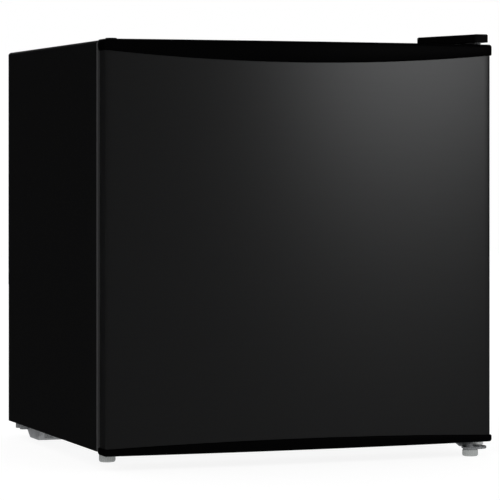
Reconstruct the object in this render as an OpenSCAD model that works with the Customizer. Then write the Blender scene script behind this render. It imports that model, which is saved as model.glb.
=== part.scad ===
// Compact one-door mini fridge: insulated cabinet, bowed door hung on the right, freezer box,
// wire shelf, door racks and the refrigeration set at the rear.
// Axes: X runs to the right seen from the front, Y runs from the door to the rear, Z is up.
// The origin is under the middle of the whole object, on the floor. Units are millimetres.

/* [Cabinet] */
// Outside width of the steel cabinet
cab_width = 470; // [440:1:520]
// Depth of the cabinet, front rim to back panel
cab_depth = 380.5; // [365:0.5:430]
// Height of the cabinet's lower edge above the floor
cab_bottom = 18.6; // [17:0.1:22]
// Height of the cabinet's flat top
cab_top = 479.5; // [470:0.5:520]
// Thickness of the folded steel sheet
sheet = 0.8; // [0.6:0.1:1.2]
// Rounding of the cabinet's upper side edges
shell_radius = 4; // [2:0.5:8]
// Width of the steel rim that the door seal closes on
rim_width = 28; // [24:1:30]
// Width of the lips folded in under the cabinet
bottom_lip = 12; // [8:1:14]

/* [Lining] */
// Wall thickness of cabinet sides, floor and ceiling, out to in
wall = 35; // [33:1:45]
// Wall thickness of the cabinet's rear
rear_wall = 40; // [36:1:50]
// Thickness of the moulded plastic linings
liner_skin = 1.5; // [1:0.1:2]
// Height of the machine compartment's roof
machine_top = 190; // [180:1:200]
// Depth of the machine compartment, from the back panel
machine_depth = 165.5; // [160:0.5:170]
// Foam between machine compartment and lining
step_foam = 28; // [20:1:32]

/* [Door] */
// Cabinet front to the door's front at its side edges
door_reach = 33.6; // [30:0.1:45]
// How far the door's middle bows out in front of its side edges
door_bow = 10.2; // [4:0.1:14]
// Height of the door's lower edge
door_bottom = 16; // [15:0.5:17]
// Height of the door's upper edge
door_top = 480; // [479:0.5:481]
// Height of the top cap at its two ends
top_cap_end = 13.2; // [11:0.1:16]
// How much deeper the top cap is at its middle
top_cap_rise = 11.6; // [6:0.1:14]
// Height of the bottom cap at its two ends
bottom_cap_end = 8.6; // [7:0.1:10]
// How much higher the bottom cap is at its middle
bottom_cap_rise = 5.4; // [3:0.1:8]
// How far the caps stand out beyond the door's sides
cap_overhang = 2; // [1:0.1:3]
// Wall thickness of the moulded caps
cap_wall = 2.2; // [1.8:0.1:2.6]
// Gap between the door's rear edge and the cabinet
door_gap = 7.8; // [6:0.1:9]
// Width of the magnetic seal
gasket_width = 16; // [14:0.5:17]
// Half width of the racks
rack_half = 178.8; // [160:0.1:179]
// How far the racks reach in behind the cabinet's front
rack_reach = 81; // [60:1:82]

/* [Hinges] */
// Hinge line, in from the door's right side
hinge_inset = 10.5; // [9:0.5:12]
// Hinge line, forward of the cabinet's front
hinge_forward = 20; // [19:0.5:22]
// Diameter of both hinge pins
pin_d = 7; // [6:0.5:8]
// Radial clearance of running fits
fit = 0.05; // [0.02:0.01:0.1]
// Top of the hinge cover above the cabinet top
cover_height = 12.5; // [10:0.5:16]

/* [Fittings] */
// Height of the wire shelf's side wires
shelf_height = 224.3; // [224.3:0.1:226]
// Height of the freezer box floor
freezer_floor = 346; // [345:1:352]
// Diameter of the thermostat knob
knob_d = 34; // [24:1:40]
// Distance of condenser tube runs
condenser_pitch = 24; // [20:1:24]
// Number of condenser tube runs
condenser_runs = 10; // [4:2:10]
// Overall space behind the back panel
rear_space = 25.7; // [24:0.1:30]

/* [Hidden] */
$fn = 48;
eps = 0.2;                                   // clearance round foam and loose parts
half_w = cab_width / 2;
front_edge = door_bow + door_reach;
half_depth = (front_edge + cab_depth + rear_space) / 2;
front_y = front_edge - half_depth;           // plane of the cabinet's front rim
back_y = front_y + cab_depth;                // outer face of the back panel
rear_y = half_depth;                         // rearmost point
panel_y = back_y - sheet;
rim_x = half_w - rim_width;
// lining
in_x = half_w - wall;
in_floor = cab_bottom + wall + 0.4;
in_top = cab_top - wall;
in_rear = back_y - rear_wall;
machine_y = back_y - machine_depth;          // front wall of the machine compartment
step_y = machine_y - step_foam;
step_top = machine_top + step_foam;
flange_y = front_y + sheet + 0.1;
plate_z = cab_bottom + sheet + 0.1;          // underside of the bottom plate
// door
door_rear = front_y - door_gap;
bow_radius = (half_w * half_w + door_bow * door_bow) / (2 * door_bow);
cap_half = half_w + cap_overhang;
top_radius = (cap_half * cap_half + top_cap_rise * top_cap_rise) / (2 * top_cap_rise);
bottom_radius = (cap_half * cap_half + bottom_cap_rise * bottom_cap_rise) / (2 * bottom_cap_rise);
top_low = door_top - top_cap_end - top_cap_rise;
bottom_high = door_bottom + bottom_cap_end + bottom_cap_rise;
liner_face = door_rear + liner_skin;
skin = 1;                                    // the steel front stands this far behind the caps' front
// hinge line
hx = half_w - hinge_inset;
hy = front_y - hinge_forward;
hinge_plate = 2.5;
upper_plate_z = door_top + 2.4;
lower_plate_z = 8;
bush_d = 13;
cover_wall = 1.4;
cover_roof = 1.6;
arc_steps = 28;                              // flats along each shallow arc
// freezer box
fz = [freezer_floor, 436];
fx = [-188, 92];
fy = [-88, 135];
flap_axis = [-97, fz[0] + 1];
frame_y = [-94, -80];
// levelling feet
foot_r = [210.5, front_y - 29.3];
foot_l = [-205, front_y + 58.2];
// condenser
tube_d = 4.8;
tube_y = rear_y - 8;
run_half = 173;
run_z0 = machine_top + 25;
run_top = run_z0 + condenser_pitch * (condenser_runs - 1);
bend_r = condenser_pitch / 2;
// compressor
cx = 30;
cy = 116;
comp_d = 128;
base_top = 15.5;
foot_z = 24;
line_y = 188;
line_z = 395;
suction_x = 74;
outlet_x = -209;
capillary_x = 60;

screw_spots = [[204, -128], [224, -128], [214, -166]];
lower_screws = [[228, -128], [228, -166], [202.5, -168]];
base_screws = [for (x = [-222, 222], y = [60, 172, 191]) [x, y]];
grommet_spots = [for (sx = [-1, 1], sy = [-1, 1]) [cx + 72 * sx, cy + 32 * sy]];
hanger_spots = [for (x = [-160, 64], y = [-60, 105]) [x, y]];

// colours
black = [0.03, 0.03, 0.035];
grey = [0.33, 0.34, 0.35];
white = [0.92, 0.93, 0.92];
foam_c = [0.93, 0.85, 0.6];
zinc = [0.72, 0.73, 0.74];
copper = [0.72, 0.42, 0.28];
alu = [0.8, 0.81, 0.83];
rubber = [0.08, 0.08, 0.08];
clear = [0.8, 0.88, 0.92, 0.6];

// Box between pairs of limits
module slab(x, y, z) {
    translate([x[0], y[0], z[0]]) cube([x[1] - x[0], y[1] - y[0], z[1] - z[0]]);
}

// Straight round bar from a point, along an axis letter
module rod(at, along, d, len) {
    turn = along == "x" ? [0, 90, 0] : along == "y" ? [-90, 0, 0] : [0, 0, 0];
    translate(at) rotate(turn) cylinder(d = d, h = len);
}

// Part of a ring of round bar: centre, direction to its start, direction it turns towards
module elbow(c, u, v, r, d, angle = 90) {
    w = cross(u, v);
    multmatrix([[u[0], v[0], w[0], c[0]], [u[1], v[1], w[1], c[1]], [u[2], v[2], w[2], c[2]]])
        rotate_extrude(angle = angle) translate([r, 0]) circle(d = d);
}

// Straight tube between two points on a line parallel to an axis
module straight(a, b, d) {
    w = (b - a) / norm(b - a);
    u = abs(w[2]) > 0.5 ? [1, 0, 0] : [0, 0, 1];
    v = cross(w, u);
    multmatrix([[u[0], v[0], w[0], a[0]], [u[1], v[1], w[1], a[1]], [u[2], v[2], w[2], a[2]]])
        cylinder(d = d, h = norm(b - a));
}

// Tube through square corners, each rounded to one bend radius
module pipe(points, r, d) {
    last = len(points) - 1;
    way = [for (i = [0:last - 1]) (points[i + 1] - points[i]) / norm(points[i + 1] - points[i])];
    for (i = [0:last - 1])
        straight(points[i] + (i > 0 ? r : 0) * way[i],
            points[i + 1] - (i < last - 1 ? r : 0) * way[i], d);
    for (i = [1:last - 1])
        elbow(points[i] - r * way[i - 1] + r * way[i], -way[i], way[i - 1], r, d);
}

// Outline in X and Z drawn out along Y
module along_y(y) {
    translate([0, y[1], 0]) rotate([90, 0, 0]) linear_extrude(y[1] - y[0]) children();
}

// Outline in Y and Z drawn out along X
module along_x(x) {
    translate([x[0], 0, 0]) rotate([90, 0, 90]) linear_extrude(x[1] - x[0]) children();
}

// Holes for a set of upright screws
module holes(spots, d, z) {
    for (p = spots) rod([p[0], p[1], z[0]], "z", d, z[1] - z[0]);
}

// Upright screws with a head at one end
module screws(spots, d, z, head_d, head_z) {
    holes(spots, d, z);
    holes(spots, head_d, head_z);
}

/* ---- cabinet ---- */

// Front outline of the cabinet, set in by a margin
module cab_outline(m, low) {
    x = half_w - m;
    c = half_w - shell_radius;
    translate([-x, low]) square([2 * x, cab_top - shell_radius - low]);
    translate([-c, low]) square([2 * c, cab_top - m - low]);
    for (s = [-1, 1]) translate([s * c, cab_top - shell_radius]) circle(r = shell_radius - m);
}

// Space inside the lining, grown outwards by its skin
module cavity(g, y0) {
    difference() {
        slab([-in_x - g, in_x + g], [y0, in_rear + g], [in_floor - g, in_top + g]);
        slab([-half_w, half_w], [step_y + g, back_y], [0, step_top - g]);
    }
}

module outer_shell() {
    color(black) difference() {
        along_y([front_y, panel_y]) cab_outline(0, cab_bottom);
        along_y([front_y + sheet, back_y]) cab_outline(sheet, cab_bottom + sheet);
        slab([-rim_x, rim_x], [front_y - 1, front_y + 2], [0, cab_top - rim_width]);
        slab([bottom_lip - half_w, half_w - bottom_lip], [front_y + sheet, back_y],
            [0, cab_bottom + sheet + 1]);
        slab([-rim_x, rim_x], [front_y - 1, front_y + 30], [0, cab_bottom + 2]);
        holes(screw_spots, 4.4, [cab_top - 5, cab_top + 1]);
        mirror([1, 0, 0]) holes(screw_spots, 4.4, [cab_top - 5, cab_top + 1]);
        holes(lower_screws, 4.4, [0, cab_bottom + 2]);
        holes(base_screws, 6.4, [0, cab_bottom + 2]);
    }
}

module front_rail() {
    x = rim_x - 0.1;
    color(black) difference() {
        union() {
            slab([-x, x], [front_y, front_y + sheet], [cab_bottom, cab_bottom + rim_width + 0.4]);
            slab([-x, x], [front_y, front_y + 22], [cab_bottom, cab_bottom + sheet]);
            slab([-x - 15, x + 15], [front_y + sheet, front_y + 2 * sheet], [21, 39]);
        }
        holes(lower_screws, 4.4, [0, cab_bottom + 2]);
    }
}

module bottom_plate() {
    color(zinc) difference() {
        slab([2 - half_w, half_w - 2], [front_y + 24, machine_y - 0.1], [plate_z, plate_z + sheet]);
        holes([foot_l], 14.4, [0, 30]);
        holes(lower_screws, 4.4, [0, 30]);
    }
}

module machine_plate() {
    w = half_w - 2;
    color(zinc) difference() {
        union() {
            slab([-w, w], [machine_y, machine_y + sheet], [plate_z, machine_top]);
            slab([-w, w], [machine_y, panel_y - 0.1], [machine_top - sheet, machine_top]);
        }
        slab([capillary_x - 6, suction_x + 8], [line_y - 8, line_y + 8], [150, 200]);
    }
}

module back_panel() {
    color(black) difference() {
        along_y([panel_y, back_y]) cab_outline(0, machine_top - sheet);
        for (p = bracket_spots()) rod([p[0], panel_y - 1, p[1] + 12], "y", 3.4, 4);
    }
}

module foam_insulation() {
    m = sheet + eps;
    color(foam_c) difference() {
        along_y([front_y + 2.6, panel_y - eps]) cab_outline(m, plate_z + sheet + eps);
        cavity(liner_skin + eps, front_y);
        slab([-half_w, half_w], [machine_y - eps, back_y], [0, machine_top + eps]);
        holes([foot_l], 14.6, [0, 46]);
        holes(lower_screws, 5, [0, 34]);
        holes(screw_spots, 5, [464, cab_top]);
        mirror([1, 0, 0]) holes(screw_spots, 5, [464, cab_top]);
        holes(hanger_spots, 5, [in_top, in_top + 9]);
        slab([capillary_x - 6, suction_x + 8], [line_y - 8, line_y + 8], [150, line_z + 8]);
        slab([capillary_x - 6, suction_x + 8], [in_rear, line_y + 8], [line_z - 8, line_z + 8]);
        for (p = bracket_spots()) rod([p[0], panel_y - 14, p[1] + 12], "y", 4, 16);
    }
}

module inner_liner() {
    flange_x = rim_x + 8;
    rib = 7;
    color(white) difference() {
        union() {
            difference() {
                union() {
                    cavity(liner_skin, flange_y);
                    slab([-flange_x, flange_x], [flange_y, flange_y + liner_skin],
                        [in_floor - 14, in_top + 14]);
                }
                cavity(0, front_y - 1);
            }
            for (s = [-1, 1], z = [shelf_height - 7.2, shelf_height + 5, 130]) {
                deep = z < 200 ? step_y - 8 : in_rear - 10;
                mirror([s < 0 ? 1 : 0, 0, 0])
                    slab([in_x - rib, in_x + 1], [front_y + 30, deep], [z, z + 4.6]);
            }
        }
        holes(hanger_spots, 4.4, [in_top - 1, in_top + 3]);
        slab([capillary_x - 4, suction_x + 6], [in_rear - 1, in_rear + 3], [line_z - 6, line_z + 6]);
    }
}

/* ---- levelling feet ---- */

// Ribbed turning pad of a levelling foot
module foot_pad(at, d, h, ribs) {
    difference() {
        union() {
            rod([at[0], at[1], 1.4], "z", d, h - 1.4);
            rod([at[0], at[1], 0], "z", d - 3, 1.4);
        }
        for (i = [0:ribs - 1]) rotate_about(at, i * 360 / ribs)
            rod([at[0] + d / 2 + 0.4, at[1], 2.4], "z", 2, h);
        rod([at[0], at[1], 3], "z", 4 + 2 * fit, h);
    }
}

// Turn about an upright line
module rotate_about(at, angle) {
    translate([at[0], at[1], 0]) rotate(angle) translate([-at[0], -at[1], 0]) children();
}

module right_foot_pad() {
    color(white) foot_pad(foot_r, 18.5, 7.8, 16);
}

module right_foot_stud() {
    color(zinc) {
        rod([foot_r[0], foot_r[1], 7.85], "z", 6, 6.75);
        rod([foot_r[0], foot_r[1], 3.2], "z", 4, 5);
    }
}

module left_foot_pad() {
    color(white) foot_pad(foot_l, 19, 10.5, 16);
}

module left_foot_stud() {
    color(zinc) {
        rod([foot_l[0], foot_l[1], 10.55], "z", 8, 29);
        rod([foot_l[0], foot_l[1], 3.2], "z", 4, 8);
    }
}

module left_foot_insert() {
    color(white) difference() {
        union() {
            rod([foot_l[0], foot_l[1], plate_z - 2.4], "z", 24, 2.4);
            rod([foot_l[0], foot_l[1], plate_z - 2.4], "z", 14, 27);
        }
        rod([foot_l[0], foot_l[1], 10], "z", 8 + 2 * fit, 40);
    }
}

/* ---- hinges ---- */

module top_hinge_bracket() {
    top = cab_top + hinge_plate;
    color(zinc) difference() {
        union() {
            intersection() {
                slab([197, 229], [front_y + 3, -118], [cab_top, top]);
                translate([0, 0, cab_top]) linear_extrude(hinge_plate) cover_plan(cover_wall + 0.2);
            }
            slab([217, 228.6], [front_y + 3, front_y + 6], [cab_top, upper_plate_z + hinge_plate]);
            slab([217, 228.6], [-209, front_y + 6], [upper_plate_z, upper_plate_z + hinge_plate]);
        }
        holes(screw_spots, 4.4, [cab_top - 1, top + 1]);
        holes([[hx, hy]], pin_d + 2 * fit, [upper_plate_z - 1, upper_plate_z + 5]);
    }
}

module top_hinge_pin() {
    z = upper_plate_z + hinge_plate;
    color(zinc) {
        rod([hx, hy, door_top - 17], "z", pin_d, z - door_top + 17);
        rod([hx, hy, z], "z", pin_d + 1.4, 1.2);
    }
}

module top_hinge_screws() {
    top = cab_top + hinge_plate;
    color(zinc) screws(screw_spots, 4, [cab_top - 13, top + 1], 8, [top, top + 2.4]);
}

// Plan of the hinge cover, set in by a margin
module cover_plan(m) {
    polygon([[215 + m, -215 + m], [230.4 - m, -215 + m], [231.8 - m, -213.6 + m],
        [231.8 - m, -106 - m], [229.4 - m, -104 - m], [196 + m, -104 - m], [190 + m, -107 - m],
        [188 + 1.2 * m, -112], [215 + m, -206]]);
}

module top_hinge_cover() {
    color(black) difference() {
        translate([0, 0, cab_top]) linear_extrude(cover_height) cover_plan(0);
        translate([0, 0, cab_top - 1]) linear_extrude(cover_height + 1 - cover_roof)
            cover_plan(cover_wall);
        slab([180, 240], [-240, front_y + 1], [cab_top - 1, upper_plate_z]);
    }
}

module lower_hinge_bracket() {
    z = lower_plate_z;
    r = 14.5;
    mid = half_w - 1 - r;
    riser_x = 211.5;
    color(zinc) difference() {
        union() {
            slab([riser_x, mid + r], [-201.5, front_y + 3.6], [z, z + hinge_plate]);
            rod([foot_r[0], foot_r[1], z], "z", 17, hinge_plate);
            rod([mid, -201.5, z], "z", 2 * r, hinge_plate);
            rod([foot_r[0], foot_r[1], z + 1], "z", 9.5, hinge_plate + 0.5);
            along_y([front_y + 1.1, front_y + 3.6])
                polygon([[riser_x, z], [mid + r, z], [mid + r, cab_bottom], [198, cab_bottom]]);
            slab([198, mid + r], [front_y + 1.1, -118], [cab_bottom - hinge_plate, cab_bottom]);
        }
        holes(lower_screws, 4.4, [z, cab_bottom + 1]);
        holes([[hx, hy]], pin_d + 2 * fit, [z - 1, z + 5]);
        holes([foot_r], 6 + 2 * fit, [z - 1, z + 8]);
    }
}

module lower_hinge_pin() {
    z = lower_plate_z;
    color(zinc) {
        rod([hx, hy, z], "z", pin_d, 23);
        rod([hx, hy, z + hinge_plate], "z", 10, 1.3);
    }
}

module lower_hinge_screws() {
    top = cab_bottom - hinge_plate;
    color(zinc) screws(lower_screws, 4, [top - 1, 31], 8, [top - 2.4, top]);
}

module cabinet_hole_plugs() {
    color(black) mirror([1, 0, 0])
        screws(screw_spots, 4, [cab_top - 8, cab_top + 0.3], 9, [cab_top, cab_top + 0.6]);
}

/* ---- refrigeration set ---- */

function bracket_spots() = [for (x = [-161.5, 161.5], k = [1, condenser_runs - 2])
    [x, run_z0 + k * condenser_pitch]];

// Lower outline of the pressed feet at the ends of the compressor base
function foot_line(top) = [[129, 0], [168, 0], [182, 9], [199, 9.5], [199, top], [122, top]];

module compressor_base() {
    t = 1.5;
    low = base_top - t;
    end = half_w - 19.5;
    color(zinc) difference() {
        union() {
            slab([-157, 157], [45, 199], [low, base_top]);
            for (s = [0, 1]) mirror([s, 0, 0]) {
                along_x([155.5, end]) polygon([[45, low], [122, low], [129, 0], [168, 0], [182, 9],
                    [199, 9.5], [199, 9.5 + t], [181.4, 9 + t], [167.4, t], [130, t], [123, base_top],
                    [45, base_top]]);
                along_x([end - t, end]) polygon(foot_line(cab_bottom - 0.1));
                along_x([155.5, 157]) polygon(foot_line(base_top));
                slab([end - t, end], [45, 124], [low, cab_bottom - 0.1]);
                slab([end - 1, end + 13], [50, 68], [17, 18.5]);
                slab([end - 1, end + 13], [164, 199], [17, 18.5]);
            }
        }
        holes(base_screws, 6.4, [0, 30]);
        holes(grommet_spots, 6.4, [0, 30]);
    }
}

module base_bolts() {
    color(zinc) {
        screws(base_screws, 6, [16, 28], 11, [10, 17]);
        screws(grommet_spots, 6, [12, 34], 10, [9.5, 14]);
        holes(grommet_spots, 10, [foot_z + 2.5, foot_z + 7]);
    }
}

module rubber_mounts() {
    color(rubber) difference() {
        holes(grommet_spots, 22, [base_top, foot_z]);
        holes(grommet_spots, 6.4, [0, 40]);
    }
}

module compressor_shell() {
    plate = foot_z + 2.5;
    color(black) difference() {
        union() {
            slab([cx - 84, cx + 84], [cy - 42, cy + 42], [foot_z, plate]);
            translate([cx, cy, plate]) cylinder(d1 = comp_d - 34, d2 = comp_d, h = 18);
            rod([cx, cy, plate + 18], "z", comp_d, 80);
            translate([cx, cy, plate + 98]) cylinder(d1 = comp_d, d2 = comp_d - 26, h = 16);
            translate([cx, cy, plate + 114]) cylinder(d1 = comp_d - 26, d2 = comp_d - 80, h = 9);
            rod([cx, cy, 72], "z", comp_d + 5, 5);
            rod([suction_x, cy + 40, 110], "y", 9, 20);
            rod([-5, cy + 40, 90], "y", 9, 18);
            rod([suction_x, cy - 54, 110], "y", 9, 10);
        }
        holes(grommet_spots, 6.4, [0, 40]);
    }
}

module terminal_cover() {
    color(black) difference() {
        slab([cx - 104, cx - 60], [cy - 26, cy + 26], [80, 136]);
        slab([cx - 101.5, cx - 50], [cy - 23.5, cy + 23.5], [82.5, 133.5]);
        rod([cx, cy, 60], "z", comp_d + 0.8, 90);
    }
}

module suction_line() {
    color(copper) pipe([[suction_x, cy + 60.2, 110], [suction_x, line_y, 110],
        [suction_x, line_y, line_z], [suction_x, fy[1] + 0.3, line_z]], 10, 6);
}

module discharge_line() {
    x = -run_half - bend_r - 1;
    z = 90;
    color(copper) pipe([[-5, cy + 58.2, z], [-5, tube_y, z], [x, tube_y, z], [x, tube_y, run_z0],
        [-run_half - 0.2, tube_y, run_z0]], bend_r, tube_d);
}

// One row of tube with welded wires, folded back and forth over the rear
module condenser() {
    wire = 1.6;
    color(black) {
        for (k = [0:condenser_runs - 1])
            rod([-run_half, tube_y, run_z0 + k * condenser_pitch], "x", tube_d, 2 * run_half);
        for (k = [0:condenser_runs - 2])
            elbow([(k % 2 == 0 ? 1 : -1) * run_half, tube_y, run_z0 + (k + 0.5) * condenser_pitch],
                [0, 0, -1], [k % 2 == 0 ? 1 : -1, 0, 0], bend_r, tube_d, 180);
        for (i = [0:18])
            rod([-171 + 19 * i, tube_y + 2.9, run_z0 - 8], "z", wire, run_top - run_z0 + 16);
    }
}

module liquid_line() {
    low = 60;
    color(copper) pipe([[-run_half - 0.2, tube_y, run_top], [outlet_x, tube_y, run_top],
        [outlet_x, tube_y, low], [outlet_x, line_y, low], [outlet_x, line_y, low + 11.8]],
        11, tube_d);
}

module filter_drier() {
    z = 72;
    color(copper) translate([outlet_x, line_y, z]) {
        cylinder(d1 = 8, d2 = 17, h = 8);
        translate([0, 0, 8]) cylinder(d = 17, h = 52);
        translate([0, 0, 60]) cylinder(d1 = 17, d2 = 6, h = 10);
    }
}

module capillary_tube() {
    z = 178;
    color(copper) pipe([[outlet_x, line_y, 142.2], [outlet_x, line_y, z], [capillary_x, line_y, z],
        [capillary_x, line_y, line_z], [capillary_x, fy[1] + 0.3, line_z]], 8, 2.4);
}

module condenser_brackets() {
    color(black) difference() {
        for (p = bracket_spots()) {
            slab([p[0] - 6, p[0] + 6], [back_y, rear_y], [p[1] - 7, p[1] + 7]);
            slab([p[0] - 6, p[0] + 6], [back_y, back_y + 3], [p[1] - 7, p[1] + 18]);
        }
        for (p = bracket_spots()) {
            rod([p[0] - 8, tube_y, p[1]], "x", tube_d + 0.6, 16);
            rod([p[0], back_y - 1, p[1] + 12], "y", 3.4, 8);
        }
    }
}

module condenser_screws() {
    color(zinc) for (p = bracket_spots()) {
        rod([p[0], panel_y - 12, p[1] + 12], "y", 3, 16);
        rod([p[0], back_y + 3, p[1] + 12], "y", 6.5, 2);
    }
}

module cord_gland() {
    color(black) difference() {
        union() {
            slab([142, 158], [188, 198], [base_top, 30]);
            rod([150, 186, 30], "y", 16, 14);
        }
        rod([150, 180, 30], "y", 7.6, 30);
    }
}

/* ---- freezer box and fittings ---- */

module evaporator_box() {
    t = 1.2;
    color(alu) difference() {
        slab(fx, fy, fz);
        slab([fx[0] + t, fx[1] - t], [fy[0] - 1, fy[1] - t], [fz[0] + t, fz[1] - t]);
        holes(hanger_spots, 4.4, [fz[1] - 3, fz[1] + 1]);
    }
}

// Raised refrigerant passage pressed into the underside of the freezer box
module evaporator_channel() {
    n = 6;
    step = 34;
    z = [fz[0] - 2, fz[0]];
    color(alu) {
        for (i = [0:n - 1]) slab([fx[0] + 20, fx[1] - 20], [-66 + step * i, -59 + step * i], z);
        for (i = [0:n - 2]) {
            x = i % 2 == 0 ? fx[1] - 27 : fx[0] + 20;
            slab([x, x + 7], [-66 + step * i, -59 + step * (i + 1)], z);
        }
    }
}

module evaporator_hangers() {
    color(white) difference() {
        for (p = hanger_spots)
            slab([p[0] - 10, p[0] + 10], [p[1] - 8, p[1] + 8], [fz[1], in_top]);
        holes(hanger_spots, 4.4, [fz[1] - 1, in_top + 1]);
    }
}

module evaporator_screws() {
    color(zinc) screws(hanger_spots, 4, [fz[1] - 3, in_top + 8], 8, [fz[1] - 4, fz[1] - 1.2]);
}

module freezer_frame() {
    out_x = [fx[0] - 6, fx[1] + 6];
    out_z = [fz[0] - 6, fz[1] + 6];
    color(white) difference() {
        union() {
            slab(out_x, frame_y, out_z);
            for (x = [fx[0] - 6, fx[1] + 1])
                slab([x, x + 5], [flap_axis[0] - 4, frame_y[0]], [fz[0] - 4, fz[0] + 6]);
        }
        slab([fx[0] + 4, fx[1] - 4], [frame_y[0] - 1, fy[0] + 1], [fz[0] + 5, fz[1] - 6]);
        slab([fx[0] - 0.15, fx[1] + 0.15], [fy[0], frame_y[1] + 1], [fz[0] - 0.15, fz[1] + 0.15]);
        rod([fx[0] - 10, flap_axis[0], flap_axis[1]], "x", 4 + 2 * fit, fx[1] - fx[0] + 20);
    }
}

module freezer_flap() {
    y = [flap_axis[0] - 1.1, flap_axis[0] + 1.1];
    color(clear) {
        slab([fx[0] + 1, fx[1] - 1], y, [flap_axis[1] - 1.5, fz[1] - 5]);
        slab([-72, -24], [y[0] - 4, y[0]], [fz[1] - 14, fz[1] - 10]);
        rod([fx[0] - 5, flap_axis[0], flap_axis[1]], "x", 4, fx[1] - fx[0] + 10);
    }
}

module tray_rails() {
    color(white) for (s = [-1, 1]) {
        x = s < 0 ? fx[0] : fx[1];
        span = function(a, b) s < 0 ? [x - b, x - a] : [x + a, x + b];
        slab(span(5.2, 7.2), [-78, 128], [fz[0] - 15.5, fz[0] + 10]);
        slab(span(0.6, 7.2), [-78, 128], [fz[0] - 15.5, fz[0] - 13]);
        slab(span(0, 7.2), [-78, 128], [fz[0] + 3, fz[0] + 10]);
    }
}

module drip_tray() {
    t = 1.8;
    top = fz[0] - 8;
    x = [fx[0] + 2, fx[1] - 2];
    color(white) difference() {
        union() {
            slab(x, [-92, 128], [top - 26, top]);
            slab([x[0] - 6.4, x[1] + 6.4], [-78, 128], [top - 4.8, top - 2.6]);
            slab([x[0] + 90, x[1] - 90], [-97, -92], [top - 22, top - 18]);
        }
        slab([x[0] + t, x[1] - t], [-92 + t, 128 - t], [top - 26 + t, top + 1]);
    }
}

module shelf() {
    x = in_x - 4;
    y = [front_y + 86.2, in_rear - 9];
    z = shelf_height;
    d = 5;
    pitch = 2 * x / 16;
    color(alu) {
        for (s = [-1, 1]) rod([s * x, y[0], z], "y", d, y[1] - y[0]);
        for (s = [-1, 1]) for (e = y) translate([s * x, e, z]) sphere(d = d + 0.02);
        for (e = y) rod([-x, e, z], "x", d, 2 * x);
        rod([-x, (y[0] + y[1]) / 2, z], "x", d - 1, 2 * x);
        for (i = [1:15]) rod([-x + pitch * i, y[0], z + 2.2], "y", 3, y[1] - y[0]);
    }
}

module thermostat_housing() {
    x = [128, in_x - 0.1];
    y = [-70, 30];
    z = [372, in_top - 0.1];
    t = 2;
    color(white) difference() {
        slab(x, y, z);
        slab([x[0] + t, x[1] + 1], [y[0] + t, y[1] - t], [z[0] + t, z[1] + 1]);
        rod([164, y[0] - 1, 408], "y", 6.4, 5);
        rod([x[0] - 1, 0, 408], "x", 4, 5);
    }
}

module thermostat_body() {
    color(grey) difference() {
        union() {
            slab([148, 180], [-66, 6], [392, 424]);
            rod([97, 0, 408], "x", 2.4, 52);
            rod([97, -30, 408], "y", 6, 60);
        }
        rod([164, -67, 408], "y", 6 + 2 * fit, 14);
    }
}

module thermostat_knob() {
    y = -70.5;
    color(white) {
        difference() {
            rod([164, y - 15, 408], "y", knob_d, 15);
            for (i = [0:17]) translate([164, y - 15, 408]) rotate([-90, 20 * i, 0])
                translate([knob_d / 2 + 0.8, 0, -1]) cylinder(d = 3, h = 12);
        }
        rod([164, y, 408], "y", 6, 14);
        slab([162.6, 165.4], [y - 16.5, y - 15], [410, 408 + knob_d / 2 - 1]);
    }
}

/* ---- door ---- */

// Front surface of the door in plan, and the edges of the two caps, all circular arcs
function bow_line(x) = -half_depth + bow_radius - sqrt(bow_radius * bow_radius - x * x);
function top_line(x) = top_low + top_radius - sqrt(top_radius * top_radius - x * x);
function bottom_line(x) = bottom_high - bottom_radius + sqrt(bottom_radius * bottom_radius - x * x);

// Plan of the door: bowed front, bevelled corners; margins at the sides and at the front
module door_plan(side, front, rear) {
    x = half_w + side;
    c = 2.5;
    edge = bow_line(x - c) + front;
    polygon(concat(
        [for (i = [0:arc_steps]) let (px = (x - c) * (2 * i / arc_steps - 1)) [px, bow_line(px) + front]],
        [[x, edge + c], [x, rear - c], [x - c, rear], [c - x, rear], [-x, rear - c], [-x, edge + c]]));
}

// Upright solid on the door's plan
module door_block(side, front, rear, z) {
    translate([0, 0, z[0]]) linear_extrude(z[1] - z[0]) door_plan(side, front, rear);
}

// Region of the top cap, above a shallow arc
module top_region(grow) {
    x = half_w + 10;
    along_y([-half_depth - 5, door_rear + 5]) polygon(concat(
        [for (i = [0:arc_steps]) let (px = x * (2 * i / arc_steps - 1)) [px, top_line(px) - grow]],
        [[x, door_top + 9], [-x, door_top + 9]]));
}

// Region of the bottom cap, below a shallow arc
module bottom_region(grow) {
    x = half_w + 10;
    along_y([-half_depth - 5, door_rear + 5]) polygon(concat(
        [for (i = [0:arc_steps]) let (px = x * (2 * i / arc_steps - 1)) [px, bottom_line(px) + grow]],
        [[x, door_bottom - 9], [-x, door_bottom - 9]]));
}

module door_panel() {
    color(grey) difference() {
        door_block(0, skin, door_rear, [door_bottom + 1, door_top - 1]);
        door_block(-sheet, skin + sheet, door_rear - sheet, [0, door_top + 1]);
        slab([14 - half_w, half_w - 14], [door_rear - 5, door_rear + 5], [0, door_top + 1]);
        top_region(0.1);
        bottom_region(0.1);
    }
}

// Pocket that fingers reach into, behind the top cap's front
module grip_space(g, z1) {
    slab([-70 - g, 70 + g], [-half_depth + 9 - g, door_rear - 5 + g], [door_top - 14 - g, z1]);
}

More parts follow.
